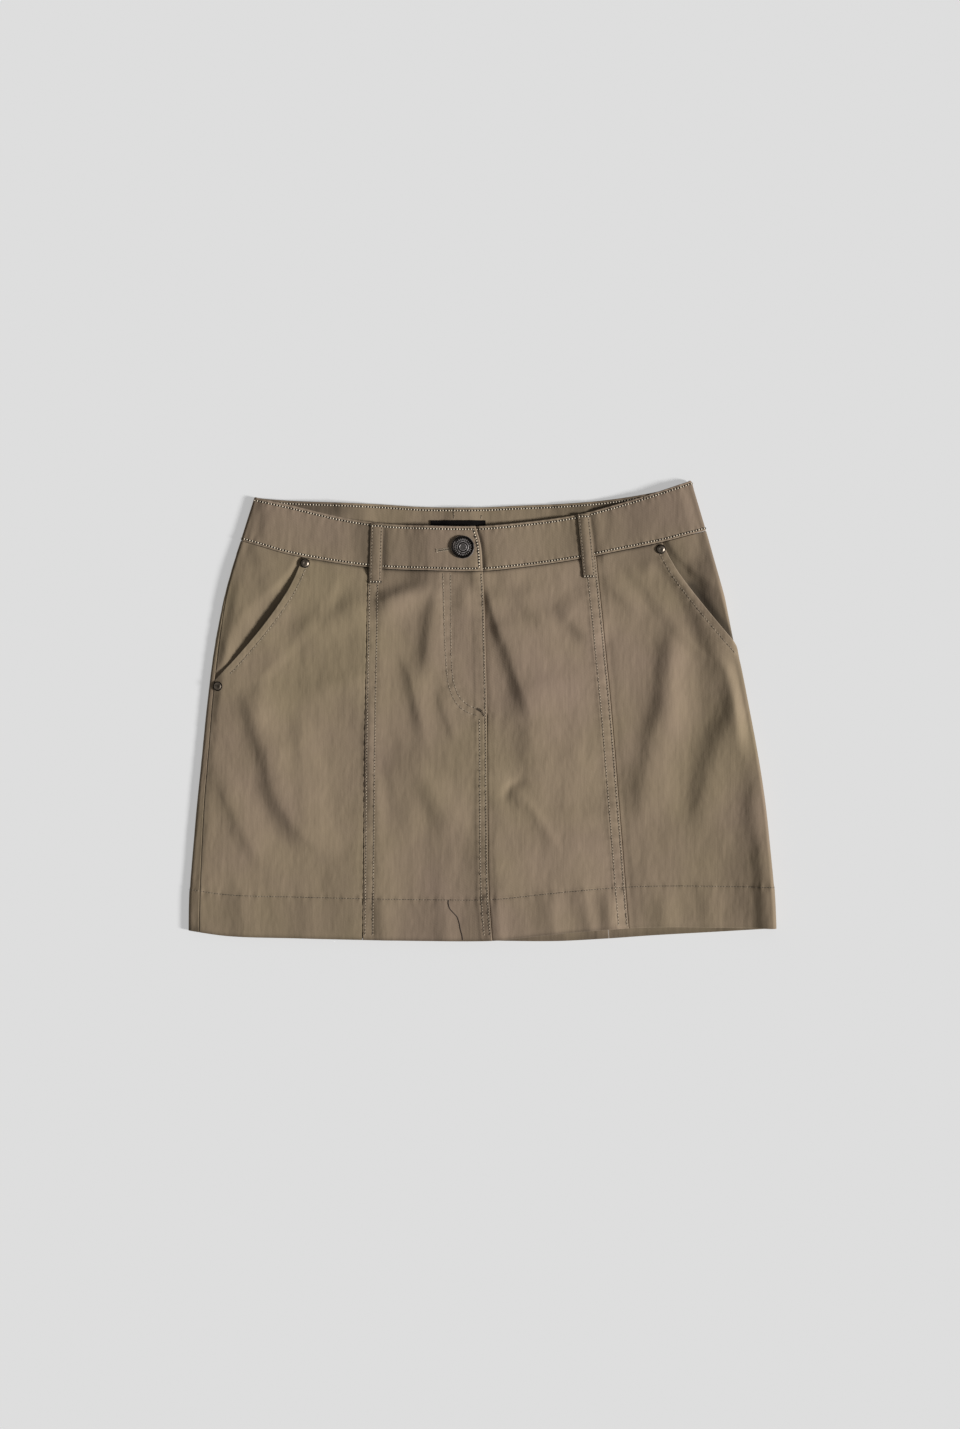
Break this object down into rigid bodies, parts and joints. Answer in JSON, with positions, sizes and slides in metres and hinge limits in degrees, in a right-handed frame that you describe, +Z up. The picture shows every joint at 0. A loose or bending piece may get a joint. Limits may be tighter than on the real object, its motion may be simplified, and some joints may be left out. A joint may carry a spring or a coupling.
{
  "type": "mini skirt",
  "caption": "A-line fly-front mini skirt in cotton twill, laid flat on its back, with a buttoned waistband, belt loops and slanted pockets.",
  "frame": {"origin": "on the surface the skirt lies on, under the middle of its outline", "axes": "+X to the right of someone looking down at the front, along the skirt's width; +Y from hem to waist; +Z up, out of the front"},
  "size_m": [0.4807, 0.377, 0.0122],
  "materials": {
    "twill": "matt taupe cotton twill",
    "zip_tape": "matt woven tape",
    "label_weave": "matt black woven label, blank",
    "dark_metal": "antiqued, darkened brass"
  },
  "bodies": {
    "root": {"front_side_left": "twill", "front_side_right": "twill", "front_centre_left": "twill", "front_centre_right": "twill", "back_side_left": "twill", "back_centre": "twill", "back_side_right": "twill", "pocket_facing_left": "twill", "pocket_facing_right": "twill", "waistband_front_left": "twill", "waistband_front_right": "twill", "waistband_back": "twill", "waistband_back_facing": "twill", "belt_loop_front_left": "twill", "belt_loop_front_right": "twill", "belt_loop_back_left": "twill", "belt_loop_back_centre": "twill", "belt_loop_back_right": "twill", "fly_zip": "zip_tape", "size_label": "label_weave", "zip_slider": "dark_metal", "waist_button": "dark_metal", "rivet_top_left": "dark_metal", "rivet_top_right": "dark_metal", "rivet_low_left": "dark_metal", "rivet_low_right": "dark_metal"}
  },
  "joints": []
}
